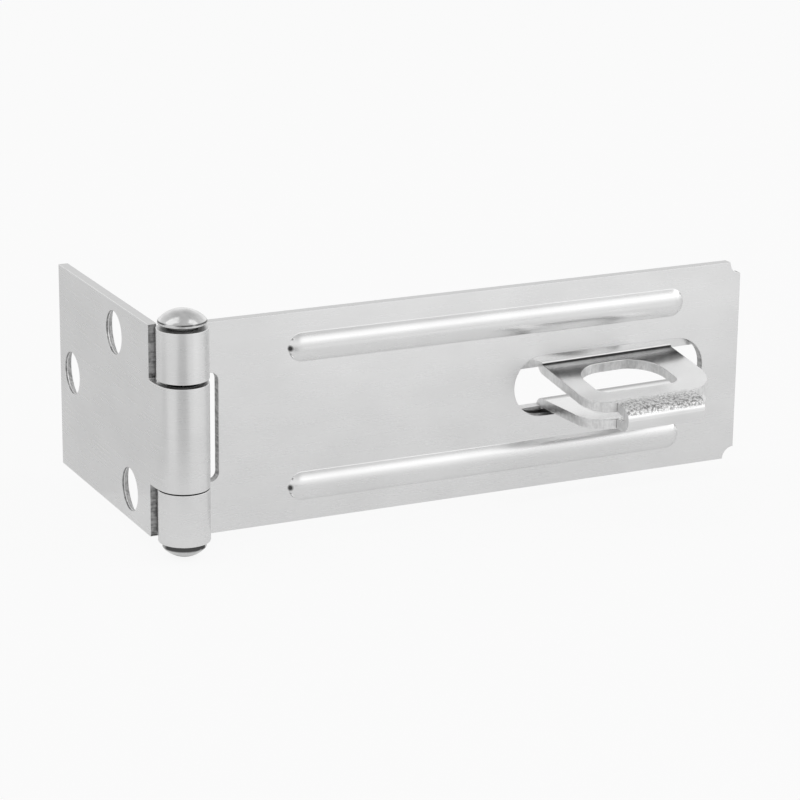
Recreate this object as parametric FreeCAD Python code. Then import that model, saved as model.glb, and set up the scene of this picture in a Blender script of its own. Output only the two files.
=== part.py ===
import FreeCAD, Part
import math
import os

# Padlock hasp of zinc-plated sheet steel, hinged, with a folded staple.
# A short hinge leaf is screwed down and a long strap closes over it, hiding the screws.
# The strap's slot passes over the staple, whose eye takes the padlock shackle.
#
# Lengths are in millimetres. The pieces are drawn about the hinge axis:
# +X runs along the strap, +Y along the hinge leaf, +Z up the pin, z = 0 at the leaves' lower edges.
# At the end all of them move together, so that the origin is the middle screw hole
# on the mounting face of the hinge leaf. The leaves stand at a right angle.

# Driving sizes: sheet and hinge
sheet = 1.8
leaf_height = 38.0
pin_radius = 2.7
pin_clearance = 0.05
seam_gap = 0.25
closed_gap = 0.2

# Driving sizes: heights of the three knuckles
lower_knuckle_top = 9.4
upper_knuckle_bottom = 29.0
lower_knuckle_gap = 0.2
upper_knuckle_gap = 0.7

# Driving sizes: hinge leaf
screw_end_margin = 6.2
seat_step = 0.3
seat_ease_start = 2.5
notch_clearance = 0.25
notch_corner_radius = 0.25
notch_edge_round = 0.55
screw_hole_radius = 3.9
screw_head_radius = 5.4
screw_hole_land = 0.5
screw_edge_margin = 5.65
upper_screw_reach = 20.3
middle_screw_reach = 42.3
lower_screw_reach = 13.5

# Driving sizes: strap
strap_end_margin = 7.5
neck_bend_radius = 4.5
window_reach = 6.9
window_corner_radius = 1.5
corner_notch_radius = 2.2
slot_centre_reach = 83.9
slot_length = 39.2
slot_height = 11.4
rib_centre_reach = 59.4
rib_length = 78.8
rib_width = 5.2
rib_rise = 1.0
rib_edge_margin = 6.35

# Driving sizes: pin ends
head_radius = 4.25
head_rim = 0.5
head_dome = 2.0
head_gap = 0.75
rivet_neck_radius = 3.6
rivet_radius = 3.85
rivet_rim = 1.05
rivet_dome = 1.8

# Driving sizes: staple
staple_bend_radius = 0.5
staple_aside = 0.7
staple_set_back = 0.75
staple_drop = 0.7
staple_tip_deg = 2.5
staple_lean_deg = 1.0
staple_flare_deg = 4.9
hem_reach = 23.5
hem_gap = 1.0
hem_width = 15.7
hem_aside = 0.8
layer_width = 26.9
layer_reach = 19.3
near_corner_radius = 5.4
far_corner_radius = 8.5
eye_width = 16.5
eye_aside = 1.2
eye_start = 2.85
eye_end = 14.95
eye_back_radius = 6.2
eye_front_radius = 2.4
base_length = 50.0
base_height = 31.0
base_corner_radius = 2.5
base_shoulder = 3.8
base_hole_radius = 2.6
base_head_radius = 4.4
base_hole_land = 0.6
base_hole_spacing = 39.0

# Sizes that follow from the hinge
bore_radius = pin_radius + pin_clearance
barrel_radius = bore_radius + sheet
hinge_leaf_reach = middle_screw_reach + screw_end_margin
mounting_face = barrel_radius + seat_step
cover_face = mounting_face - sheet
strap_back = cover_face - closed_gap
strap_front = strap_back - sheet
rib_press_radius = (rib_width ** 2 / 4 + rib_rise ** 2) / (2 * rib_rise)
rib_axis_depth = strap_front + rib_press_radius - rib_rise
strap_reach = slot_centre_reach + slot_length / 2 + strap_end_margin
staple_centre_reach = slot_centre_reach + staple_aside
middle_height = leaf_height / 2
notch_reach = math.sqrt((barrel_radius + notch_clearance) ** 2 - cover_face ** 2)
tab_bottom = lower_knuckle_top + lower_knuckle_gap
tab_top = upper_knuckle_bottom - upper_knuckle_gap
origin = FreeCAD.Vector(-mounting_face, middle_screw_reach, middle_height)

Z_AXIS = FreeCAD.Vector(0, 0, 1)


def vec(x, y, z=0.0):
    return FreeCAD.Vector(x, y, z)


def polar(centre, radius, degrees):
    angle = math.radians(degrees)
    return centre + vec(radius * math.cos(angle), radius * math.sin(angle))


def line(start, end):
    return Part.LineSegment(start, end).toShape()


def arc(centre, radius, start, end):
    """Arc in the XY plane from one angle to another, in degrees."""
    middle = polar(centre, radius, (start + end) / 2)
    return Part.Arc(polar(centre, radius, start), middle, polar(centre, radius, end)).toShape()


def face_of(edges):
    return Part.Face(Part.Wire(edges))


def rounded_corner(before, corner, after, radius):
    """Ends and middle of the arc that rounds one corner of an outline."""
    back = (before - corner).normalize()
    on = (after - corner).normalize()
    half_turn = back.getAngle(on) / 2
    setback = radius / math.tan(half_turn)
    centre = corner + (back + on).normalize() * (radius / math.sin(half_turn))
    middle = centre + (corner - centre).normalize() * radius
    return corner + back * setback, middle, corner + on * setback


def rounded_outline(corners, radii):
    """Closed face through the corners, each rounded by its radius, or left sharp at 0."""
    ends = []
    edges = []
    count = len(corners)
    for index, (corner, radius) in enumerate(zip(corners, radii)):
        if radius > 0:
            start, middle, end = rounded_corner(
                corners[index - 1], corner, corners[(index + 1) % count], radius)
            edges.append(Part.Arc(start, middle, end).toShape())
            ends.append((start, end))
        else:
            ends.append((corner, corner))
    for index in range(count):
        start = ends[index][1]
        end = ends[(index + 1) % count][0]
        if start.distanceToPoint(end) > 1e-6:
            edges.append(line(start, end))
    return face_of(Part.sortEdges(edges)[0])


def rolled_hinge_profile():
    """Section of the hinge leaf: flat plate, slow bend onto the barrel, then the roll."""
    centre = vec(0, 0)
    ease_radius = (seat_ease_start ** 2 / seat_step + 2 * barrel_radius + seat_step) / 2
    ease_centre = vec(ease_radius - mounting_face, seat_ease_start)
    join = math.degrees(math.atan2(-ease_centre.y, -ease_centre.x)) + 360
    roll_end = 360 + math.degrees(math.acos((seam_gap - cover_face) / barrel_radius))
    outer_start = vec(-mounting_face, hinge_leaf_reach)
    inner_start = vec(-cover_face, hinge_leaf_reach)
    return face_of([
        line(outer_start, vec(-mounting_face, seat_ease_start)),
        arc(ease_centre, ease_radius, 180, join),
        arc(centre, barrel_radius, join, roll_end),
        line(polar(centre, barrel_radius, roll_end), polar(centre, bore_radius, roll_end)),
        arc(centre, bore_radius, roll_end, join),
        arc(ease_centre, ease_radius - sheet, join, 180),
        line(vec(-cover_face, seat_ease_start), inner_start),
        line(inner_start, outer_start),
    ])


def rolled_strap_profile():
    """Section of the strap: flat plate, reverse bend at the neck, then the roll."""
    centre = vec(0, 0)
    bend_height = strap_back + neck_bend_radius
    bend_reach = math.sqrt((barrel_radius + neck_bend_radius) ** 2 - bend_height ** 2)
    bend = vec(bend_reach, bend_height)
    join = math.degrees(math.atan2(bend_height, bend_reach))
    roll_end = 360 + math.degrees(math.asin((strap_front - seam_gap) / barrel_radius))
    back_end = vec(strap_reach, strap_back)
    front_end = vec(strap_reach, strap_front)
    return face_of([
        line(back_end, vec(bend_reach, strap_back)),
        arc(bend, neck_bend_radius, 270, 180 + join),
        arc(centre, barrel_radius, join, roll_end),
        line(polar(centre, barrel_radius, roll_end), polar(centre, bore_radius, roll_end)),
        arc(centre, bore_radius, roll_end, join),
        arc(bend, neck_bend_radius + sheet, 180 + join, 270),
        line(vec(bend_reach, strap_front), front_end),
        line(front_end, back_end),
    ])


def countersunk_hole(hole_radius, top_radius, land, thickness):
    """Tool for a screw hole along +X: a short straight land, then the cone for the head."""
    straight = Part.makeCylinder(hole_radius, thickness, vec(0, 0), vec(1, 0))
    cone = Part.makeCone(hole_radius, top_radius, thickness - land, vec(land, 0), vec(1, 0))
    return straight.fuse(cone)


def leaf_notch(bottom, top):
    """Space beside the middle knuckle where a knuckle of the strap turns."""
    past = 2 * barrel_radius
    face = rounded_outline(
        [vec(-past, bottom), vec(notch_reach, bottom), vec(notch_reach, top), vec(-past, top)],
        [0, notch_corner_radius, notch_corner_radius, 0])
    beside_plate = face.extrude(vec(0, 0, 2 * past))
    beside_plate.rotate(vec(0, 0), vec(1, 1, 1), 120)
    beside_plate.translate(vec(-past, 0))
    rest_of_roll = Part.makeBox(past, 2 * past, top - bottom, vec(-bore_radius, -past, bottom))
    return beside_plate.fuse(rest_of_roll)


def hinge_leaf():
    """Short leaf: middle knuckle, two notches beside it and three countersunk holes."""
    leaf = rolled_hinge_profile().extrude(vec(0, 0, leaf_height))
    spare = leaf_height
    below = leaf_notch(-spare, tab_bottom)
    above = leaf_notch(tab_top, leaf_height + spare)
    leaf = leaf.cut([below, above])
    upper = leaf_height - screw_edge_margin
    for reach, height in ((upper_screw_reach, upper), (middle_screw_reach, middle_height),
                          (lower_screw_reach, screw_edge_margin)):
        hole = countersunk_hole(screw_hole_radius, screw_head_radius, screw_hole_land, sheet)
        hole.translate(vec(-mounting_face, reach, height))
        leaf = leaf.cut(hole)
    edges = [edge for edge in leaf.Edges if is_notch_edge(edge)]
    return leaf.makeFillet(notch_edge_round, edges).removeSplitter()


def is_notch_edge(edge):
    """True for the upright edges that the notches leave on the covered face."""
    corner = vec(-cover_face, notch_reach)
    upright_edge = edge.BoundBox.ZLength > 1 and isinstance(edge.Curve, Part.Line)
    return upright_edge and (edge.CenterOfMass - vec(0, 0, edge.CenterOfMass.z) - corner).Length < 0.01


def rib_bead(height, radius):
    """Long round-ended bead about the rib's axis, which lies behind the strap's front."""
    half = (rib_length - rib_width) / 2
    left = vec(rib_centre_reach - half, rib_axis_depth, height)
    right = vec(rib_centre_reach + half, rib_axis_depth, height)
    barrel = Part.makeCylinder(radius, 2 * half, left, vec(1, 0))
    ends = [Part.makeSphere(radius, place) for place in (left, right)]
    return barrel.fuse(ends)


def press_rib(leaf, height):
    """Push one rib out of the flat strap, keeping one sheet of metal in its wall."""
    proud = Part.makeBox(rib_length, sheet + rib_rise, rib_width,
                         vec(rib_centre_reach - rib_length / 2, strap_front - rib_rise,
                             height - rib_width / 2))
    front = rib_bead(height, rib_press_radius).common(proud)
    hollow = rib_bead(height, rib_press_radius - sheet)
    return leaf.fuse(front).cut(hollow)


def strap_slot():
    """Tool for the round-ended slot that lets the staple through."""
    radius = slot_height / 2
    half = slot_length / 2 - radius
    deep = 2 * barrel_radius
    left = vec(slot_centre_reach - half, -deep / 2, middle_height)
    right = vec(slot_centre_reach + half, -deep / 2, middle_height)
    middle = Part.makeBox(2 * half, deep, slot_height, left - vec(0, 0, radius))
    ends = [Part.makeCylinder(radius, deep, place, vec(0, 1)) for place in (left, right)]
    return middle.fuse(ends)


def strap():
    """Long leaf: two outer knuckles, a window for the middle one, two ribs and the slot."""
    leaf = rolled_strap_profile().extrude(vec(0, 0, leaf_height))
    spare = 2 * barrel_radius
    window = rounded_outline(
        [vec(-spare, lower_knuckle_top), vec(window_reach, lower_knuckle_top),
         vec(window_reach, upper_knuckle_bottom), vec(-spare, upper_knuckle_bottom)],
        [0, window_corner_radius, window_corner_radius, 0])
    window.rotate(vec(0, 0), vec(1, 0), 90)
    window.translate(vec(0, spare))
    leaf = leaf.cut(window.extrude(vec(0, -2 * spare)))
    for height in (rib_edge_margin, leaf_height - rib_edge_margin):
        leaf = press_rib(leaf, height)
    leaf = leaf.cut(strap_slot())
    for height in (0, leaf_height):
        corner = Part.makeCylinder(corner_notch_radius, 2 * spare,
                                   vec(strap_reach, -spare, height), vec(0, 1))
        leaf = leaf.cut(corner)
    return leaf.removeSplitter()


def pin():
    """Hinge pin with a low domed head above and a riveted end below."""
    head_bottom = leaf_height + head_gap
    head_top = head_bottom + head_rim
    rivet_bottom = -rivet_rim
    profile = [
        line(vec(0, 0, head_top + head_dome), vec(0, 0, rivet_bottom - rivet_dome)),
        dome(rivet_radius, rivet_bottom, -rivet_dome),
        line(vec(rivet_radius, 0, rivet_bottom), vec(rivet_neck_radius, 0, 0)),
        line(vec(rivet_neck_radius, 0, 0), vec(pin_radius, 0, 0)),
        line(vec(pin_radius, 0, 0), vec(pin_radius, 0, head_bottom)),
        line(vec(pin_radius, 0, head_bottom), vec(head_radius, 0, head_bottom)),
        line(vec(head_radius, 0, head_bottom), vec(head_radius, 0, head_top)),
        dome(head_radius, head_top, head_dome),
    ]
    return face_of(profile).revolve(vec(0, 0), Z_AXIS, 360)


def dome(radius, height, rise):
    """Arc in the XZ plane from the rim of a dome to its crown on the axis."""
    size = abs(rise)
    sphere = (radius ** 2 + size ** 2) / (2 * size)
    half_angle = math.asin(radius / sphere) / 2
    drop = sphere * (1 - math.cos(half_angle))
    sign = rise / size
    middle = vec(sphere * math.sin(half_angle), 0, height + sign * (size - drop))
    return Part.Arc(vec(radius, 0, height), middle, vec(0, 0, height + rise)).toShape()


def strip_half_height(reach):
    """Half the folded strip's outer height at a distance out from the base."""
    hem_outer = sheet + hem_gap / 2
    flare = math.radians(staple_flare_deg)
    run = hem_reach - hem_outer - reach
    return (hem_outer + run * math.sin(flare)) / math.cos(flare)


def base_bend_height():
    """Height of a base bend's centre above the staple's middle plane."""
    rise = staple_bend_radius / math.cos(math.radians(staple_flare_deg))
    return strip_half_height(staple_bend_radius) + rise


def staple_section():
    """Section of the folded strip. X is the distance out from the base, Y the height."""
    outer = sheet + hem_gap / 2
    inner = hem_gap / 2
    hem = vec(hem_reach - outer, 0)
    height = base_bend_height()
    top = base_height / 2
    edges = [arc(hem, outer, 90 - staple_flare_deg, staple_flare_deg - 90),
             arc(hem, inner, 90 - staple_flare_deg, staple_flare_deg - 90)]
    for side in (1, -1):
        bend = vec(staple_bend_radius, side * height)
        leave = side * (90 - staple_flare_deg)
        meet = 180 + leave
        edges += [
            line(vec(0, side * top), vec(0, side * height)),
            arc(bend, staple_bend_radius, 180, meet),
            line(polar(bend, staple_bend_radius, meet), polar(hem, outer, leave)),
            line(polar(hem, inner, leave), polar(bend, staple_bend_radius + sheet, meet)),
            arc(bend, staple_bend_radius + sheet, meet, 180),
            line(vec(-sheet, side * height), vec(-sheet, side * top)),
            line(vec(-sheet, side * top), vec(0, side * top)),
        ]
    return face_of(Part.sortEdges(edges)[0])


def staple_outline():
    """Plan of the strip: straight sides, rounded layer corners and the narrower hem.

    The hem and the eye are pressed a little nearer the hinge than the strip's middle.
    """
    half = layer_width / 2
    hem_near = -hem_width / 2 - hem_aside
    hem_far = hem_width / 2 - hem_aside
    past_hem = hem_reach + sheet
    behind = -2 * sheet
    return rounded_outline(
        [vec(behind, -half), vec(layer_reach, -half), vec(layer_reach, hem_near),
         vec(past_hem, hem_near), vec(past_hem, hem_far), vec(layer_reach, hem_far),
         vec(layer_reach, half), vec(behind, half)],
        [0, near_corner_radius, 0, 0, 0, 0, far_corner_radius, 0])


def staple_eye():
    """Plan of the shackle eye: straight at the front, well rounded towards the base."""
    near = -eye_width / 2 - eye_aside
    far = eye_width / 2 - eye_aside
    return rounded_outline(
        [vec(eye_start, near), vec(eye_end, near), vec(eye_end, far), vec(eye_start, far)],
        [eye_back_radius, eye_front_radius, eye_front_radius, eye_back_radius])


def base_flange(side):
    """One base flange, drawn in XY with its front at z = 0, with two countersunk holes."""
    length = base_length / 2
    top = base_height / 2
    strip = layer_width / 2
    corners = [vec(-length, base_shoulder), vec(-strip, base_shoulder),
               vec(-strip, base_bend_height()), vec(strip, base_bend_height()),
               vec(strip, base_shoulder), vec(length, base_shoulder),
               vec(length, top), vec(-length, top)]
    plate = rounded_outline([vec(corner.x, side * corner.y) for corner in corners],
                            [0, 0, 0, 0, 0, 0, base_corner_radius, base_corner_radius])
    plate = plate.extrude(vec(0, 0, -sheet))
    for end in (1, -1):
        hole = countersunk_hole(base_hole_radius, base_head_radius, base_hole_land, sheet)
        hole.rotate(vec(0, 0), vec(0, 1), -90)
        hole.translate(vec(end * base_hole_spacing / 2, side * (base_shoulder + top) / 2, -sheet))
        plate = plate.cut(hole)
    return plate


def staple():
    """One strip folded double: eye through both layers, base flanges turned up and down."""
    tall = 2 * base_height
    strip = staple_section().extrude(vec(0, 0, base_length))
    strip.translate(vec(0, 0, -base_length / 2))
    strip.rotate(vec(0, 0), vec(1, 0), 90)
    outline = staple_outline().extrude(vec(0, 0, tall))
    outline.translate(vec(0, 0, -tall / 2))
    eye = staple_eye().extrude(vec(0, 0, tall))
    eye.translate(vec(0, 0, -tall / 2))
    strip = strip.common(outline).cut(eye)
    strip.rotate(vec(0, 0), Z_AXIS, -90)
    flanges = [base_flange(side) for side in (1, -1)]
    for plate in flanges:
        plate.rotate(vec(0, 0), vec(1, 0), 90)
    whole = strip.fuse(flanges).removeSplitter()
    whole.rotate(vec(0, 0), vec(0, 1), -staple_lean_deg)
    whole.rotate(vec(0, 0), vec(1, 0), staple_tip_deg)
    whole.translate(vec(staple_centre_reach, strap_back + staple_set_back,
                        middle_height - staple_drop))
    return whole


PIECES = {
    "hinge_leaf": hinge_leaf,
    "hasp_leaf": strap,
    "hinge_pin": pin,
    "staple": staple,
}


def main():
    os.makedirs("parts", exist_ok=True)
    for name, make in PIECES.items():
        piece = make().Solids[0]
        piece.translate(origin * -1)
        piece.exportStep("parts/" + name + ".step")


main()
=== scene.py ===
"""Finishes the padlock hasp in zinc plate and sets it in a small white studio.

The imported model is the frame. Each piece stands where its CAD node does, in metres.
"""

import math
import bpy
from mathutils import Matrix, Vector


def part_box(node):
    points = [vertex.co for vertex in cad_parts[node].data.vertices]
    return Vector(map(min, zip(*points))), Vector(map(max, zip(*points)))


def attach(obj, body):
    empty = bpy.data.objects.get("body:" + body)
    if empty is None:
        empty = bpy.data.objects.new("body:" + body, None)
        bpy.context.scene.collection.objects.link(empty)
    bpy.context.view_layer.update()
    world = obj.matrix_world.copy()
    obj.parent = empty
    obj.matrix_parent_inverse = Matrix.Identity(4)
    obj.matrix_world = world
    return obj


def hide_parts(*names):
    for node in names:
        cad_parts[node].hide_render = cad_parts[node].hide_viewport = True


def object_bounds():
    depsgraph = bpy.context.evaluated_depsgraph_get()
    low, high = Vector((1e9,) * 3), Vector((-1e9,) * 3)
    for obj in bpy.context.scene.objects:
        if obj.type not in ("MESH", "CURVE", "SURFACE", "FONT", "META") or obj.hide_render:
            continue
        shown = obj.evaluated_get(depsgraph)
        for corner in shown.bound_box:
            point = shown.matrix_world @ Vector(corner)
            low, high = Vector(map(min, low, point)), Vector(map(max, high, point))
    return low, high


bl_info = {
    "name": "Padlock Hasp",
    "version": (1, 0, 0),
    "blender": (4, 5, 0),
    "location": "View3D > Sidebar > Hasp",
    "description": "Zinc-plated padlock hasp with sheared edges, and its studio",
    "category": "Object",
}

import bmesh
import bpy
from mathutils import Matrix, Vector
from mathutils.bvhtree import BVHTree
from mathutils.geometry import intersect_point_line

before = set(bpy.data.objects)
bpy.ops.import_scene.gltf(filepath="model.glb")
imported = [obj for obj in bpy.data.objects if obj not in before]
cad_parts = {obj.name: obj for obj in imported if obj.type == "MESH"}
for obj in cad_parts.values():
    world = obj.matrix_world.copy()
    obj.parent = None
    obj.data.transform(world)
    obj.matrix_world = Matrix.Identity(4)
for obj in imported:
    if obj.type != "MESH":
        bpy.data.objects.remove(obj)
CAD_BOX = [list(corner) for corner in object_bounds()]

MM = 0.001
PHOTO_SIDE = 800  # pixels
SENSOR_MM = 36.0
FLOOR_SIDE = 8.0  # metres
# Colour of the painted shade deep in narrow gaps.
GAP_SHADE = "#262626"
# Radius of the painted shade spots inside the ribs' near ends.
SHADE_SPOT_MM = 0.75

# The facets are read in this way: corners closer than the weld are one corner, facets that
# turn less than flat are one face, and an edge that turns less than a crease is in a bend.
WELD_MM = 0.001
FLAT_DEG = 0.2
CREASE_DEG = 28.0

# A cut edge is narrow, so its area is less than this share of its rim times the thickness
# of the sheet. A notch's wall is a single face that runs out into a bend, so its sharp rim
# is only a share of its outline, and at most a few thicknesses long. A cut edge whose
# middle is this near to the part's top or bottom was slit and not sheared.
CUT_SHARE = 0.65
WALL_RIM_SHARE = 0.4
WALL_THICKNESSES = 9
WALL_AREA_MM2 = 1.0
OUTER_EDGE_MM = 0.05

# Where the rounding lands further from the surface than this share of its width, it has
# thrown a spike, and the edges this near to the spike's root stay sharp.
SPIKE_SHARE = 0.6
SPIKE_REACH_MM = 0.3


def srgb(hex_colour):
    """Linear colour for a shader socket from an sRGB hex value such as #D8DADB."""
    digits = hex_colour.lstrip("#")
    channels = [int(digits[i:i + 2], 16) / 255 for i in (0, 2, 4)]
    return tuple(c / 12.92 if c <= 0.04045 else ((c + 0.055) / 1.055) ** 2.4 for c in channels) + (1.0,)


def add_node(tree, kind, inputs=None, **settings):
    """Add a node, set its properties, then fill each named input or link a socket to it."""
    node = tree.nodes.new(kind)
    for name, value in settings.items():
        setattr(node, name, value)
    for name, value in (inputs or {}).items():
        if isinstance(value, bpy.types.NodeSocket):
            tree.links.new(value, node.inputs[name])
        else:
            node.inputs[name].default_value = value
    return node


def new_material(name):
    """An empty material and its node tree."""
    material = bpy.data.materials.new(name)
    material.use_nodes = True
    material.node_tree.nodes.clear()
    return material, material.node_tree


def spacing(x, y, z):
    """Mapping scale for a pattern whose marks are this many millimetres apart along each axis."""
    return (1 / (x * MM), 1 / (y * MM), 1 / (z * MM))


def pattern(tree, scale, detail=2.0, roughness=0.5):
    """Noise in the piece's own millimetres, which travels with the piece."""
    place = add_node(tree, "ShaderNodeTexCoord")
    mapped = add_node(tree, "ShaderNodeMapping", {"Vector": place.outputs["Object"], "Scale": scale})
    noise = add_node(tree, "ShaderNodeTexNoise", {
        "Vector": mapped.outputs["Vector"], "Scale": 1.0, "Detail": detail, "Roughness": roughness})
    return noise.outputs["Fac"]


def between(tree, factor, low=0.0, high=1.0, start=0.35, end=0.65):
    """Spread values from start to end, by default a pattern's middle ones, over low to high."""
    ranged = add_node(tree, "ShaderNodeMapRange", {
        "Value": factor, "From Min": start, "From Max": end, "To Min": low, "To Max": high})
    return ranged.outputs["Result"]


def shade(tree, factor, dark, light):
    """Colour between two others, each a hex value or a socket, by a factor from 0 to 1."""
    ends = [srgb(end) if isinstance(end, str) else end for end in (dark, light)]
    mix = add_node(tree, "ShaderNodeMix", {0: factor, 6: ends[0], 7: ends[1]}, data_type="RGBA")
    return mix.outputs[2]


def relief(tree, height, depth_mm, below=None):
    """Bump whose full height is a real depth in millimetres, laid over another bump."""
    inputs = {"Height": height, "Strength": 1.0, "Distance": depth_mm * MM}
    if below is not None:
        inputs["Normal"] = below
    return add_node(tree, "ShaderNodeBump", inputs).outputs["Normal"]


def painted_gap_shade(tree, colour, reach_mm):
    """Painted shade: darken a colour deep in narrow gaps, where little light reaches."""
    openness = add_node(tree, "ShaderNodeAmbientOcclusion", {"Distance": reach_mm * MM}, samples=8)
    unshaded = between(tree, openness.outputs["AO"], start=0.22, end=0.6)
    return shade(tree, unshaded, GAP_SHADE, colour)


def metal(tree, colour, roughness, normal, reach_mm=1.3):
    """Finish a material as bare metal, with painted shade in gaps that are narrow for the reach."""
    surface = add_node(tree, "ShaderNodeBsdfPrincipled", {
        "Base Color": painted_gap_shade(tree, colour, reach_mm), "Metallic": 1.0,
        "Roughness": roughness, "Normal": normal})
    add_node(tree, "ShaderNodeOutputMaterial", {"Surface": surface.outputs["BSDF"]})


def spots(tree, places, radius_mm):
    """1 in small round spots, 0 elsewhere, with soft rims."""
    place = add_node(tree, "ShaderNodeTexCoord")
    radius = radius_mm * MM
    rim = 0.6 * radius
    found = 0.0
    for spot in places:
        away = add_node(tree, "ShaderNodeVectorMath", {0: place.outputs["Object"], 1: spot},
                        operation="DISTANCE")
        mark = between(tree, away.outputs["Value"], 1.0, 0.0, rim, radius)
        found = add_node(tree, "ShaderNodeMath", {0: found, 1: mark}, operation="MAXIMUM").outputs[0]
    return found


def zinc_plated_sheet(name, grain, look, shade_spots=()):
    """Cold-rolled steel strip, bright zinc plated: a soft mirror, with fine lines from
    the rolling mill along the strip and a cloudy film left by the plating bath. Round the
    knuckles the curling die has drawn long streaks along the pin. A spot of painted shade
    darkens the inside of each rib's near end."""
    material, tree = new_material(name)
    lines = pattern(tree, grain, detail=3.0, roughness=0.6)
    clouds = pattern(tree, spacing(14, 14, 9), detail=3.0)
    specks = pattern(tree, spacing(0.5, 0.5, 0.5), detail=1.0)
    colour = shade(tree, between(tree, clouds), look.zinc_dark, look.zinc_light)
    if shade_spots:
        # Painted shade spot inside each rib's near end.
        colour = shade(tree, spots(tree, shade_spots, SHADE_SPOT_MM), colour, look.dark_line_and_shade)
    rough = between(tree, lines, look.sheet_roughness - 0.01, look.sheet_roughness + 0.015)
    bumps = relief(tree, pattern(tree, spacing(22, 22, 15), detail=1.0), look.sheet_waviness)
    bumps = relief(tree, pattern(tree, spacing(0.7, 0.7, 30), detail=2.0), look.streak_depth, bumps)
    bumps = relief(tree, lines, look.grain_depth, bumps)
    bumps = relief(tree, specks, look.speck_depth, bumps)
    metal(tree, colour, rough, bumps)
    return material


def zinc_sheared_edge(name, across, dark, light):
    """Sheet edge cut by the press, then plated: a smooth band where the punch went in and
    a torn band below it, with drag lines across the thickness. Its tones come in as
    arguments. On the leaves they are darker than the sheet, partly for the torn surface and
    partly as painted shade of the dark surroundings that their notch and window walls face.
    The lines are drawn three times as coarse as they are, so that they show."""
    material, tree = new_material(name)
    line_width, line_length = 0.45, 5.0
    gaps = [line_length if axis == across else line_width for axis in "XYZ"]
    lines = pattern(tree, spacing(*gaps), detail=3.0, roughness=0.7)
    torn = pattern(tree, spacing(0.8, 0.8, 0.8), detail=3.0)
    tone = add_node(tree, "ShaderNodeMath", {0: lines, 1: torn}, operation="ADD")
    colour = shade(tree, between(tree, tone.outputs[0], start=0.86, end=1.14), dark, light)
    rough = between(tree, torn, 0.28, 0.42)
    bumps = relief(tree, lines, depth_mm=0.06)
    bumps = relief(tree, torn, depth_mm=0.02, below=bumps)
    metal(tree, colour, rough, bumps)
    return material


def zinc_slit_edge(name, look):
    """Edge left by the slitting rolls that cut the strip to width: nearly as light and even
    as the sheet, with a few long scratches."""
    material, tree = new_material(name)
    scratches = pattern(tree, spacing(12, 0.5, 12), detail=3.0, roughness=0.6)
    colour = shade(tree, between(tree, scratches), look.slit_dark, look.slit_light)
    rough = between(tree, scratches, 0.3, 0.42)
    metal(tree, colour, rough, relief(tree, scratches, depth_mm=0.006))
    return material


def zinc_folded_sheet(name, look, hem_line, root_line):
    """The same strip after tight folding. Its flat layers stay satin with lines from the
    mill, and the skin stretched over the top of the hem has shiny orange peel, drawn twice as
    coarse as it is, so that it shows, with painted shade in its pits. A painted dark
    reflection of the shadowed slot behind the strap lies on the upward faces of the tight bends at the root."""
    material, tree = new_material(name)
    place = add_node(tree, "ShaderNodeTexCoord")
    axes = add_node(tree, "ShaderNodeSeparateXYZ", {0: place.outputs["Object"]})
    facing = add_node(tree, "ShaderNodeNewGeometry")
    upward = add_node(tree, "ShaderNodeSeparateXYZ", {0: facing.outputs["Normal"]})
    depth, level = axes.outputs["Y"], upward.outputs["Z"]
    skin_fade, reflection_fade = 1.2 * MM, 1.3 * MM
    stretched = add_node(tree, "ShaderNodeMath", {
        0: between(tree, depth, 1.0, 0.0, hem_line - skin_fade, hem_line + skin_fade),
        1: between(tree, level, start=0.35, end=0.6)}, operation="MULTIPLY").outputs[0]
    # Where the painted dark reflection of the shadowed slot lies: upward faces near the root.
    root = add_node(tree, "ShaderNodeMath", {
        0: between(tree, depth, start=root_line - reflection_fade, end=root_line),
        1: between(tree, level, start=0.3, end=0.7)}, operation="MULTIPLY").outputs[0]
    lines = pattern(tree, spacing(0.4, 9, 9), detail=3.0, roughness=0.6)
    peel = pattern(tree, spacing(0.5, 0.45, 0.45), detail=2.0, roughness=0.6)
    clouds = pattern(tree, spacing(6, 6, 6), detail=2.0)
    # Painted shade in the orange peel's pits on the stretched skin.
    shaded_pits = add_node(tree, "ShaderNodeMath", {
        0: between(tree, peel, 1.0, 0.0, 0.38, 0.56), 1: stretched}, operation="MULTIPLY").outputs[0]
    bright = shade(tree, between(tree, clouds), look.zinc_dark, look.zinc_light)
    # Painted dark reflection laid over the clouded zinc.
    darkened = shade(tree, root, bright, look.root_reflection_dark)
    colour = shade(tree, shaded_pits, darkened, look.pit_shade)
    rough = between(tree, stretched, look.sheet_roughness - 0.06, 0.13, 0.0, 1.0)
    pits = add_node(tree, "ShaderNodeMath", {0: peel, 1: stretched}, operation="MULTIPLY").outputs[0]
    bumps = relief(tree, lines, depth_mm=0.002)
    bumps = relief(tree, pits, look.peel_depth, bumps)
    metal(tree, colour, rough, bumps, reach_mm=0.7)
    return material


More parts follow.
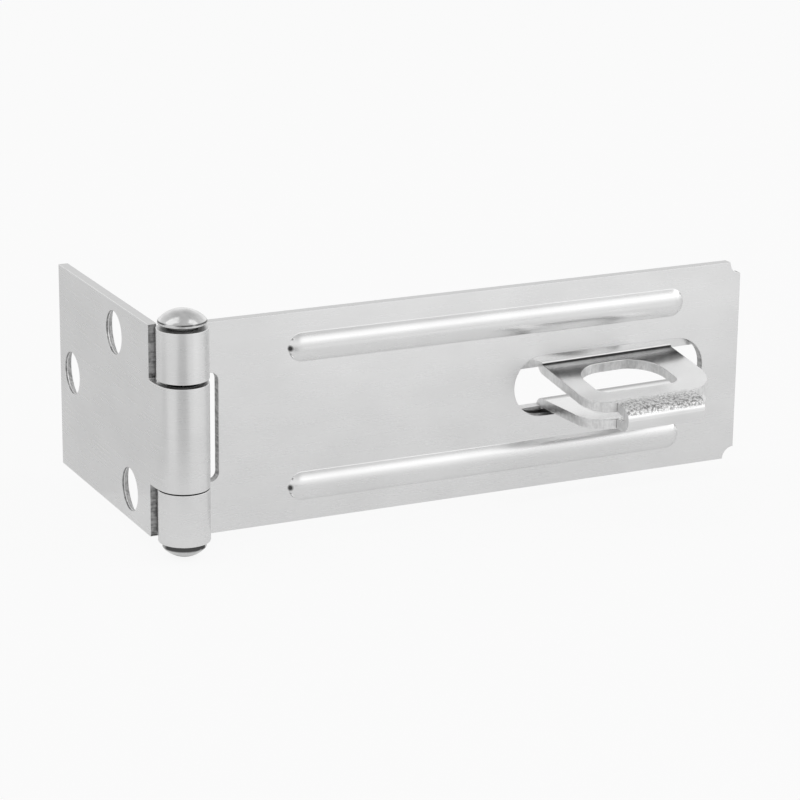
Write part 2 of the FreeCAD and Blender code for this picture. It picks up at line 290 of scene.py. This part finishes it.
def zinc_headed_pin(name, look, dome_line, neck):
    """Cold-headed steel wire, bright zinc plated: the smoothest surface on the hasp, with
    small dents from riveting. Painted shade darkens the neck above the rivet, under the
    knuckle's overhang, and a dark line rings the head where its dome meets the rim, both
    in broken patches."""
    material, tree = new_material(name)
    dents = pattern(tree, spacing(1.6, 1.6, 1.6), detail=1.0)
    fine = pattern(tree, spacing(0.5, 0.5, 0.5), detail=2.0)
    patches = pattern(tree, spacing(2.2, 2.2, 6.0), detail=1.0)
    place = add_node(tree, "ShaderNodeTexCoord")
    height = add_node(tree, "ShaderNodeSeparateXYZ", {0: place.outputs["Object"]}).outputs["Z"]
    half_line = 0.12 * MM
    dome_ring = (dome_line - half_line, dome_line + half_line, half_line / 2)
    neck_ring = (neck[0], neck[1], 0.15 * MM)
    band = 0.0
    for low, high, fade in (dome_ring, neck_ring):
        rise = between(tree, height, 0.0, 1.0, low - fade, low + fade)
        fall = between(tree, height, 1.0, 0.0, high - fade, high + fade)
        ring = add_node(tree, "ShaderNodeMath", {0: rise, 1: fall}, operation="MULTIPLY").outputs[0]
        band = add_node(tree, "ShaderNodeMath", {0: band, 1: ring}, operation="MAXIMUM").outputs[0]
    # Painted shade on the neck under the knuckle, and the dark line round the head, in broken patches.
    darkened = add_node(tree, "ShaderNodeMath", {
        0: band, 1: between(tree, patches, 1.0, 0.1, 0.48, 0.62)}, operation="MULTIPLY").outputs[0]
    plated = shade(tree, between(tree, dents), look.pin_dark, look.pin_light)
    colour = shade(tree, darkened, plated, look.dark_line_and_shade)
    rough = between(tree, fine, 0.14, 0.22)
    bumps = relief(tree, dents, depth_mm=0.05)
    bumps = relief(tree, fine, depth_mm=0.004, below=bumps)
    metal(tree, colour, rough, bumps)
    return material


def sheared_patches(mesh, thickness):
    """Faces of the cut edges: patches between sharp edges, about as narrow as the sheet is
    thick, and the walls of notches, which are single faces that run out into a bend."""
    waiting = set(mesh.faces)
    found = []
    for face in mesh.faces:
        rim = sum(edge.calc_length() for edge in face.edges if not edge.smooth)
        round_all = sum(edge.calc_length() for edge in face.edges)
        short = WALL_RIM_SHARE * round_all < rim < WALL_THICKNESSES * thickness
        if short and WALL_AREA_MM2 * MM ** 2 < face.calc_area() < CUT_SHARE * thickness * rim:
            found.append(face)
    while waiting:
        patch = [waiting.pop()]
        area = rim = 0.0
        for face in patch:
            area += face.calc_area()
            for edge in face.edges:
                if not edge.smooth:
                    rim += edge.calc_length()
                    continue
                for other in edge.link_faces:
                    if other in waiting:
                        waiting.discard(other)
                        patch.append(other)
        if area < CUT_SHARE * thickness * rim:
            found.extend(patch)
    return found


def welded_mesh(node):
    """The CAD node's facets as one closed mesh, with flat faces whole again."""
    mesh = bmesh.new()
    mesh.from_mesh(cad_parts[node].data)
    bmesh.ops.remove_doubles(mesh, verts=mesh.verts, dist=WELD_MM * MM)
    bmesh.ops.dissolve_limit(mesh, angle_limit=math.radians(FLAT_DEG), verts=mesh.verts, edges=mesh.edges)
    return mesh


def is_beside(edge, places, reach):
    """Whether any of the places lies nearer to the edge than the reach."""
    start, end = edge.verts[0].co, edge.verts[1].co
    for place in places:
        nearest, _ = intersect_point_line(place, start, end)
        along = min(max((nearest - start).dot(end - start), 0.0), (end - start).length_squared)
        nearest = start + (end - start) * along / (end - start).length_squared
        if (nearest - place).length < reach:
            return True
    return False


def plated_copy(node, body, materials, thickness, rounding_mm):
    """A CAD node's twin with broken edges.

    The materials are the sheet's, then that of its cut edges, then that of the cut edges
    along its top and bottom. An edge in a corner too tight for the rounding would throw
    spikes, so it stays sharp."""
    crease = math.radians(CREASE_DEG)
    mesh = welded_mesh(node)
    weight = mesh.edges.layers.float.new("bevel_weight_edge")
    for edge in mesh.edges:
        edge.smooth = edge.is_manifold and edge.calc_face_angle() < crease
        edge[weight] = 0.0 if edge.smooth else 1.0
    for face in mesh.faces:
        face.smooth = True
    if len(materials) > 1:
        heights = [vertex.co.z for vertex in mesh.verts]
        for face in sheared_patches(mesh, thickness):
            level = face.calc_center_median().z
            outer = min(level - min(heights), max(heights) - level) < OUTER_EDGE_MM * MM
            face.material_index = 2 if outer and len(materials) > 2 else 1
    surface = BVHTree.FromBMesh(mesh)
    sharp = bpy.data.meshes.new(node + "_plated")
    for material in materials:
        sharp.materials.append(material)
    piece = bpy.data.objects.new(node + "_plated", sharp)
    bpy.context.scene.collection.objects.link(piece)
    soften = piece.modifiers.new("broken_edges", "BEVEL")
    soften.width = rounding_mm * MM
    soften.segments = 2
    soften.limit_method = "WEIGHT"
    soften.use_clamp_overlap = False
    soften.material = 0
    soften.harden_normals = True
    while True:
        mesh.to_mesh(sharp)
        sharp.update()
        evaluated = piece.evaluated_get(bpy.context.evaluated_depsgraph_get())
        rounded = evaluated.to_mesh()
        spikes = {vertex.index for vertex in rounded.vertices
                  if surface.find_nearest(vertex.co)[3] > SPIKE_SHARE * soften.width}
        roots = [surface.find_nearest(rounded.vertices[i].co)[0] for i in spikes]
        for edge in rounded.edges:
            ends = [i for i in edge.vertices if i not in spikes]
            if len(ends) == 1:
                roots.append(rounded.vertices[ends[0]].co.copy())
        evaluated.to_mesh_clear()
        tight = [edge for edge in mesh.edges
                 if edge[weight] and is_beside(edge, roots, SPIKE_REACH_MM * MM)]
        if not tight:
            break
        for edge in tight:
            edge[weight] = 0.0
    mesh.free()
    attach(piece, body)
    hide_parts(node)
    return piece


class HaspLook(bpy.types.PropertyGroup):
    """Colours and finish of the plated steel, with the tones of its painted shade and painted reflection."""

    zinc_light: bpy.props.StringProperty(
        name="Zinc, light", description="Lighter tone of the plating, as sRGB hex", default="#E9E9E9")
    zinc_dark: bpy.props.StringProperty(
        name="Zinc, dark", description="Darker tone of the plating, as sRGB hex", default="#E4E4E4")
    # The leaves' sheared-edge tones are darkened with painted shade, for the dark surroundings that their
    # notch and window walls face.
    shaded_edge_light: bpy.props.StringProperty(
        name="Cut edge, light", description="Lighter tone of the sheared edges, as sRGB hex",
        default="#BABABA")
    shaded_edge_dark: bpy.props.StringProperty(
        name="Cut edge, dark", description="Darker tone of the sheared edges, as sRGB hex",
        default="#808080")
    slit_light: bpy.props.StringProperty(
        name="Slit edge, light", description="Lighter tone of the slit edges, as sRGB hex",
        default="#DCDCDC")
    slit_dark: bpy.props.StringProperty(
        name="Slit edge, dark", description="Darker tone of the slit edges, as sRGB hex",
        default="#CECECE")
    fold_light: bpy.props.StringProperty(
        name="Staple edge, light", description="Lighter tone of the staple's edges, as sRGB hex",
        default="#EAEAEA")
    fold_dark: bpy.props.StringProperty(
        name="Staple edge, dark", description="Darker tone of the staple's edges, as sRGB hex",
        default="#D8D8D8")
    pin_light: bpy.props.StringProperty(
        name="Pin, light", description="Lighter tone of the pin, as sRGB hex", default="#E0E0E0")
    pin_dark: bpy.props.StringProperty(
        name="Pin, dark", description="Darker tone of the pin, as sRGB hex", default="#D2D2D2")
    # Tone of the painted dark reflection on the staple's upward faces where it leaves the slot.
    root_reflection_dark: bpy.props.StringProperty(
        name="Root film", description="Tone of the oily film where the staple leaves the slot, as sRGB hex",
        default="#929292")
    # Tone of the painted shade in the pits of the stretched skin.
    pit_shade: bpy.props.StringProperty(
        name="Pits", description="Tone of the pits in the stretched skin, as sRGB hex", default="#969696")
    # Colour of the painted shade at the ribs' near ends and on the pin's neck, and of the dark line round
    # the pin's head.
    dark_line_and_shade: bpy.props.StringProperty(
        name="Press oil",
        description="Colour of the oily lines on the pin and of the spots at the ribs' ends, as sRGB hex",
        default="#4A4A4A")
    sheet_roughness: bpy.props.FloatProperty(
        name="Sheet roughness", description="How soft the reflections in the flat sheet are",
        default=0.28, min=0.05, max=0.9, subtype="FACTOR")
    sheet_waviness: bpy.props.FloatProperty(
        name="Waviness", description="Height of the slow waves in the flat sheet, in mm",
        default=0.02, min=0.0)
    grain_depth: bpy.props.FloatProperty(
        name="Grain depth", description="Depth of the rolling lines, in mm", default=0.0002, min=0.0)
    streak_depth: bpy.props.FloatProperty(
        name="Streak depth", description="Depth of the streaks along the knuckles, in mm",
        default=0.0006, min=0.0)
    speck_depth: bpy.props.FloatProperty(
        name="Speck depth", description="Depth of the fine specks in the flat sheet, in mm",
        default=0.0003, min=0.0)
    peel_depth: bpy.props.FloatProperty(
        name="Orange peel", description="Depth of the orange peel on the staple's hem, in mm",
        default=0.2, min=0.0)


class HaspSizes(bpy.types.PropertyGroup):
    """Sizes that the finish follows."""

    sheet: bpy.props.FloatProperty(
        name="Sheet", description="Thickness of the steel sheet, in mm", default=1.8, min=0.1)
    broken_edge: bpy.props.FloatProperty(
        name="Broken edge", description="Rounding of the sheared edges after plating, in mm",
        default=0.1, min=0.0)
    rib_end: bpy.props.FloatProperty(
        name="Rib end", description="Place of the ribs' near ends along the strap, in mm", default=25.3)
    rib_height: bpy.props.FloatProperty(
        name="Rib height", description="Height of the ribs above and below the middle, in mm",
        default=12.65)
    strap_depth: bpy.props.FloatProperty(
        name="Strap depth",
        description="How far the strap's face lies in front of the knuckles' backs, in mm", default=3.4)
    hem_skin: bpy.props.FloatProperty(
        name="Hem skin", description="How far the stretched skin reaches behind the hem's front, in mm",
        default=4.5, min=0.0)
    # How far in front of the knuckles' backs the painted dark reflection on the staple is full.
    root_reflection_reach: bpy.props.FloatProperty(
        name="Root film",
        description="How far in front of the knuckles' backs the film on the staple is full, in mm",
        default=1.6)
    pin_edge: bpy.props.FloatProperty(
        name="Pin edge", description="Rounding of the pin's rims, in mm", default=0.15, min=0.0)
    head_dome: bpy.props.FloatProperty(
        name="Head dome", description="Height of the dome above the head's rim, in mm", default=2.0, min=0.0)
    rivet_dome: bpy.props.FloatProperty(
        name="Rivet dome", description="Height of the rivet's dome, in mm", default=1.8, min=0.0)
    rivet_neck: bpy.props.FloatProperty(
        name="Rivet neck", description="Height of the neck above the rivet's dome, in mm",
        default=1.05, min=0.0)


class HaspStudio(bpy.types.PropertyGroup):
    """Camera, floor and lamps."""

    camera_place: bpy.props.FloatVectorProperty(
        name="Camera place", description="Where the camera stands", subtype="XYZ", unit="LENGTH",
        default=(-0.17497, -0.49715, 0.15537))
    camera_turn: bpy.props.FloatVectorProperty(
        name="Camera turn", description="Yaw to the right, pitch down and roll of the camera, in degrees",
        default=(25.89, 16.967, 0.652))
    focal_px: bpy.props.FloatProperty(
        name="Focal length", description="Focal length, in pixels of the square picture", default=3003.28)
    white: bpy.props.StringProperty(
        name="White", description="Colour of the background and of the floor's glow, as sRGB hex",
        default="#FFFFFF")
    paper: bpy.props.StringProperty(
        name="Paper", description="Colour of the floor's own surface, as sRGB hex", default="#ECECEC")
    key_glow: bpy.props.FloatProperty(
        name="Key glow", description="Brightness of the large soft box in front, where white paper is 1",
        default=0.45)
    fill_glow: bpy.props.FloatProperty(
        name="Fill glow", description="Brightness of the soft box on the right, where white paper is 1",
        default=0.7)
    top_glow: bpy.props.FloatProperty(
        name="Top glow", description="Brightness of the two soft boxes overhead, where white paper is 1",
        default=0.55)
    ceiling: bpy.props.FloatProperty(
        name="Ceiling", description="How bright reflections see the ceiling, where the walls are 1",
        default=0.62, min=0.0, max=1.0, subtype="FACTOR")
    ambient: bpy.props.FloatProperty(
        name="Ambient", description="Strength of the light from all round", default=0.6, min=0.0)


class HASP_OT_hinge_leaf(bpy.types.Operator):
    """Finish the short screw-on leaf with its middle knuckle"""

    bl_idname = "hasp.hinge_leaf"
    bl_label = "Hinge leaf"

    def execute(self, context):
        look, sizes = context.scene.hasp_look, context.scene.hasp_sizes
        materials = [zinc_plated_sheet("zinc_plated_sheet_leaf", spacing(9, 9, 0.3), look),
                     zinc_sheared_edge("zinc_sheared_edge_leaf_shaded", "X", look.shaded_edge_dark, look.shaded_edge_light),
                     zinc_slit_edge("zinc_slit_edge_leaf", look)]
        piece = plated_copy("hinge_leaf", "hinge_leaf", materials, sizes.sheet * MM, sizes.broken_edge)
        return {"FINISHED"}


class HASP_OT_strap(bpy.types.Operator):
    """Finish the long slotted strap with its ribs and two knuckles"""

    bl_idname = "hasp.strap"
    bl_label = "Strap"

    def execute(self, context):
        look, sizes = context.scene.hasp_look, context.scene.hasp_sizes
        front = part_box("hasp_leaf")[1][1] - sizes.strap_depth * MM
        # Places of the painted shade spots inside the ribs' near ends.
        ends = [(sizes.rib_end * MM, front, side * sizes.rib_height * MM) for side in (-1, 1)]
        materials = [zinc_plated_sheet("zinc_plated_sheet_strap", spacing(9, 9, 0.3), look, ends),
                     zinc_sheared_edge("zinc_sheared_edge_strap_shaded", "Y", look.shaded_edge_dark, look.shaded_edge_light),
                     zinc_slit_edge("zinc_slit_edge_strap", look)]
        piece = plated_copy("hasp_leaf", "strap", materials, sizes.sheet * MM, sizes.broken_edge)
        return {"FINISHED"}


class HASP_OT_staple(bpy.types.Operator):
    """Finish the folded staple that stands in the slot"""

    bl_idname = "hasp.staple"
    bl_label = "Staple"

    def execute(self, context):
        look, sizes = context.scene.hasp_look, context.scene.hasp_sizes
        hem_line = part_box("staple")[0][1] + sizes.hem_skin * MM
        root_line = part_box("hasp_leaf")[1][1] - sizes.root_reflection_reach * MM
        materials = [zinc_folded_sheet("zinc_folded_sheet", look, hem_line, root_line),
                     zinc_sheared_edge("zinc_sheared_edge_staple", "Z", look.fold_dark, look.fold_light)]
        piece = plated_copy("staple", "strap", materials, sizes.sheet * MM, sizes.broken_edge)
        return {"FINISHED"}


class HASP_OT_pin(bpy.types.Operator):
    """Finish the headed and riveted hinge pin"""

    bl_idname = "hasp.pin"
    bl_label = "Hinge pin"

    def execute(self, context):
        look, sizes = context.scene.hasp_look, context.scene.hasp_sizes
        bottom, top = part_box("hinge_pin")[0][2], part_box("hinge_pin")[1][2]
        neck = (bottom + sizes.rivet_dome * MM, bottom + (sizes.rivet_dome + sizes.rivet_neck) * MM)
        material = zinc_headed_pin("zinc_headed_pin", look, top - sizes.head_dome * MM, neck)
        piece = plated_copy("hinge_pin", "strap", [material], sizes.sheet * MM, sizes.pin_edge)
        return {"FINISHED"}


def aim_camera(studio):
    """Camera with the photograph's place, angle and field of view."""
    yaw, pitch, roll = (math.radians(angle) for angle in studio.camera_turn)
    ahead = Vector((math.sin(yaw) * math.cos(pitch), math.cos(yaw) * math.cos(pitch), -math.sin(pitch)))
    level_right = Vector((math.cos(yaw), -math.sin(yaw), 0))
    level_up = level_right.cross(ahead)
    right = math.cos(roll) * level_right + math.sin(roll) * level_up
    up = -math.sin(roll) * level_right + math.cos(roll) * level_up
    turn = Matrix((right, up, -ahead)).transposed().to_4x4()
    lens = bpy.data.cameras.new("photo_camera")
    lens.sensor_width = SENSOR_MM
    lens.lens = studio.focal_px / PHOTO_SIDE * SENSOR_MM
    lens.clip_start = 10 * MM
    camera = bpy.data.objects.new("photo_camera", lens)
    camera.matrix_world = Matrix.Translation(studio.camera_place) @ turn
    bpy.context.scene.collection.objects.link(camera)
    bpy.context.scene.camera = camera


def soft_box(name, place, target, size, glow):
    """Rectangular lamp whose face is as bright as the glow says, whatever its size."""
    lamp = bpy.data.lights.new(name, "AREA")
    lamp.shape = "RECTANGLE"
    lamp.size, lamp.size_y = size
    lamp.energy = glow * math.pi * size[0] * size[1]
    box = bpy.data.objects.new(name, lamp)
    box.location = place
    box.rotation_euler = (Vector(target) - Vector(place)).to_track_quat("-Z", "Y").to_euler()
    bpy.context.scene.collection.objects.link(box)


def seen_plainly(tree, camera=1.0, mirror=1.0):
    """A share for rays from the camera, and one for reflections and glass; other rays get 0."""
    path = add_node(tree, "ShaderNodeLightPath")
    bent = add_node(tree, "ShaderNodeMath", {
        0: path.outputs["Is Glossy Ray"], 1: path.outputs["Is Transmission Ray"]}, operation="MAXIMUM")
    reflected = add_node(tree, "ShaderNodeMath", {0: bent.outputs[0], 1: mirror}, operation="MULTIPLY")
    share = add_node(tree, "ShaderNodeMath", {
        0: path.outputs["Is Camera Ray"], 1: camera, 2: reflected.outputs[0]}, operation="MULTIPLY_ADD")
    return share.outputs[0]


def paper_floor(studio, height):
    """White paper: part of it glows plain white, the rest is lit and takes the shadow."""
    bpy.ops.mesh.primitive_grid_add(x_subdivisions=2, y_subdivisions=2, size=FLOOR_SIDE,
                                    location=(0, 0, height))
    floor = bpy.context.object
    floor.name = "paper_floor"
    material, tree = new_material("white_paper")
    lit = add_node(tree, "ShaderNodeBsdfDiffuse", {"Color": srgb(studio.paper)})
    plain = add_node(tree, "ShaderNodeEmission", {"Color": srgb(studio.white), "Strength": 1.0})
    mix = add_node(tree, "ShaderNodeMixShader", {
        0: seen_plainly(tree, camera=0.9, mirror=0.5), 1: lit.outputs[0], 2: plain.outputs[0]})
    add_node(tree, "ShaderNodeOutputMaterial", {"Surface": mix.outputs[0]})
    floor.data.materials.append(material)


def floor_card(name, place, size, colour, turn_deg):
    """Card just above the floor that only reflections see. The grey ones draw soft bands down
    the knuckles and the short leaf, and the white one lifts the upper part of the strap."""
    data = bpy.data.meshes.new(name)
    x, y = size[0] / 2, size[1] / 2
    data.from_pydata([(-x, -y, 0), (x, -y, 0), (x, y, 0), (-x, y, 0)], [], [(0, 1, 2, 3)])
    card = bpy.data.objects.new(name, data)
    card.location = place
    card.rotation_euler.z = math.radians(turn_deg)
    bpy.context.scene.collection.objects.link(card)
    material, tree = new_material("plain_card")
    flat = add_node(tree, "ShaderNodeEmission", {"Color": srgb(colour), "Strength": 1.0})
    add_node(tree, "ShaderNodeOutputMaterial", {"Surface": flat.outputs[0]})
    data.materials.append(material)
    card.visible_camera = False
    card.visible_diffuse = False
    card.visible_shadow = False
    card.visible_transmission = False


def white_world(studio):
    """White studio whose ceiling is darker than its walls, as polished domes show."""
    world = bpy.data.worlds.new("white_studio")
    world.use_nodes = True
    tree = world.node_tree
    tree.nodes.clear()
    direction = add_node(tree, "ShaderNodeTexCoord")
    upward = add_node(tree, "ShaderNodeSeparateXYZ", {0: direction.outputs["Generated"]}).outputs["Z"]
    wall_top, ceiling_edge = 0.3, 0.75
    seen = between(tree, upward, 1.0, studio.ceiling, wall_top, ceiling_edge)
    strength = add_node(tree, "ShaderNodeMix", {0: seen_plainly(tree), 2: studio.ambient, 3: seen},
                        data_type="FLOAT")
    ground = add_node(tree, "ShaderNodeBackground", {
        "Color": srgb(studio.white), "Strength": strength.outputs[0]})
    add_node(tree, "ShaderNodeOutputWorld", {"Surface": ground.outputs[0]})
    bpy.context.scene.world = world


class HASP_OT_studio(bpy.types.Operator):
    """Set the white floor, the soft boxes and the camera"""

    bl_idname = "hasp.studio"
    bl_label = "Studio"

    def execute(self, context):
        studio = context.scene.hasp_studio
        lowest = CAD_BOX[0][2]
        floor_gap, card_lift = 0.1 * MM, 1 * MM
        paper_floor(studio, lowest - floor_gap)
        white_world(studio)
        middle = (0.05, -0.03, 0.0)
        soft_box("key_soft_box", (0.46, -0.77, 0.43), middle, (0.9, 0.45), studio.key_glow)
        soft_box("fill_soft_box", (0.85, -0.3, 0.35), middle, (0.4, 0.5), studio.fill_glow)
        soft_box("left_top_soft_box", (-0.36, 0.16, 0.80), middle, (0.42, 0.6), studio.top_glow)
        soft_box("right_top_soft_box", (0.46, -0.24, 0.80), middle, (0.34, 0.44), studio.top_glow)
        card_height = lowest + card_lift
        floor_card("camera_side_card", (-0.042, -0.158, card_height), (0.078, 0.13), "#B6B6B6", -21.0)
        floor_card("far_side_card", (-0.088, -0.010, card_height), (0.085, 0.05), "#CACACA", -20.0)
        floor_card("left_card", (-0.05, 0.08, card_height), (0.12, 0.2), "#D9D9D9", 26.0)
        floor_card("front_card", (0.13, -0.172, card_height), (0.14, 0.085), "#FFFFFF", 0.0)
        aim_camera(studio)
        context.scene.view_settings.view_transform = "Standard"
        return {"FINISHED"}


class HASP_PT_panel(bpy.types.Panel):
    """Lists the hasp's sizes, finish and pieces"""

    bl_idname = "HASP_PT_panel"
    bl_label = "Padlock hasp"
    bl_space_type = "VIEW_3D"
    bl_region_type = "UI"
    bl_category = "Hasp"

    def draw(self, context):
        for group in (context.scene.hasp_sizes, context.scene.hasp_look, context.scene.hasp_studio):
            box = self.layout.box()
            for name in group.__annotations__:
                box.prop(group, name)
        for operator in OPERATORS:
            self.layout.operator(operator.bl_idname)


GROUPS = (HaspLook, HaspSizes, HaspStudio)
OPERATORS = (HASP_OT_hinge_leaf, HASP_OT_strap, HASP_OT_staple, HASP_OT_pin, HASP_OT_studio)


def register():
    for cls in GROUPS + OPERATORS + (HASP_PT_panel,):
        bpy.utils.register_class(cls)
    bpy.types.Scene.hasp_look = bpy.props.PointerProperty(type=HaspLook)
    bpy.types.Scene.hasp_sizes = bpy.props.PointerProperty(type=HaspSizes)
    bpy.types.Scene.hasp_studio = bpy.props.PointerProperty(type=HaspStudio)


def unregister():
    del bpy.types.Scene.hasp_look
    del bpy.types.Scene.hasp_sizes
    del bpy.types.Scene.hasp_studio
    for cls in reversed(GROUPS + OPERATORS + (HASP_PT_panel,)):
        bpy.utils.unregister_class(cls)


def main():
    register()
    bpy.ops.hasp.hinge_leaf()
    bpy.ops.hasp.strap()
    bpy.ops.hasp.staple()
    bpy.ops.hasp.pin()
    bpy.ops.hasp.studio()


if __name__ == "__main__":
    main()
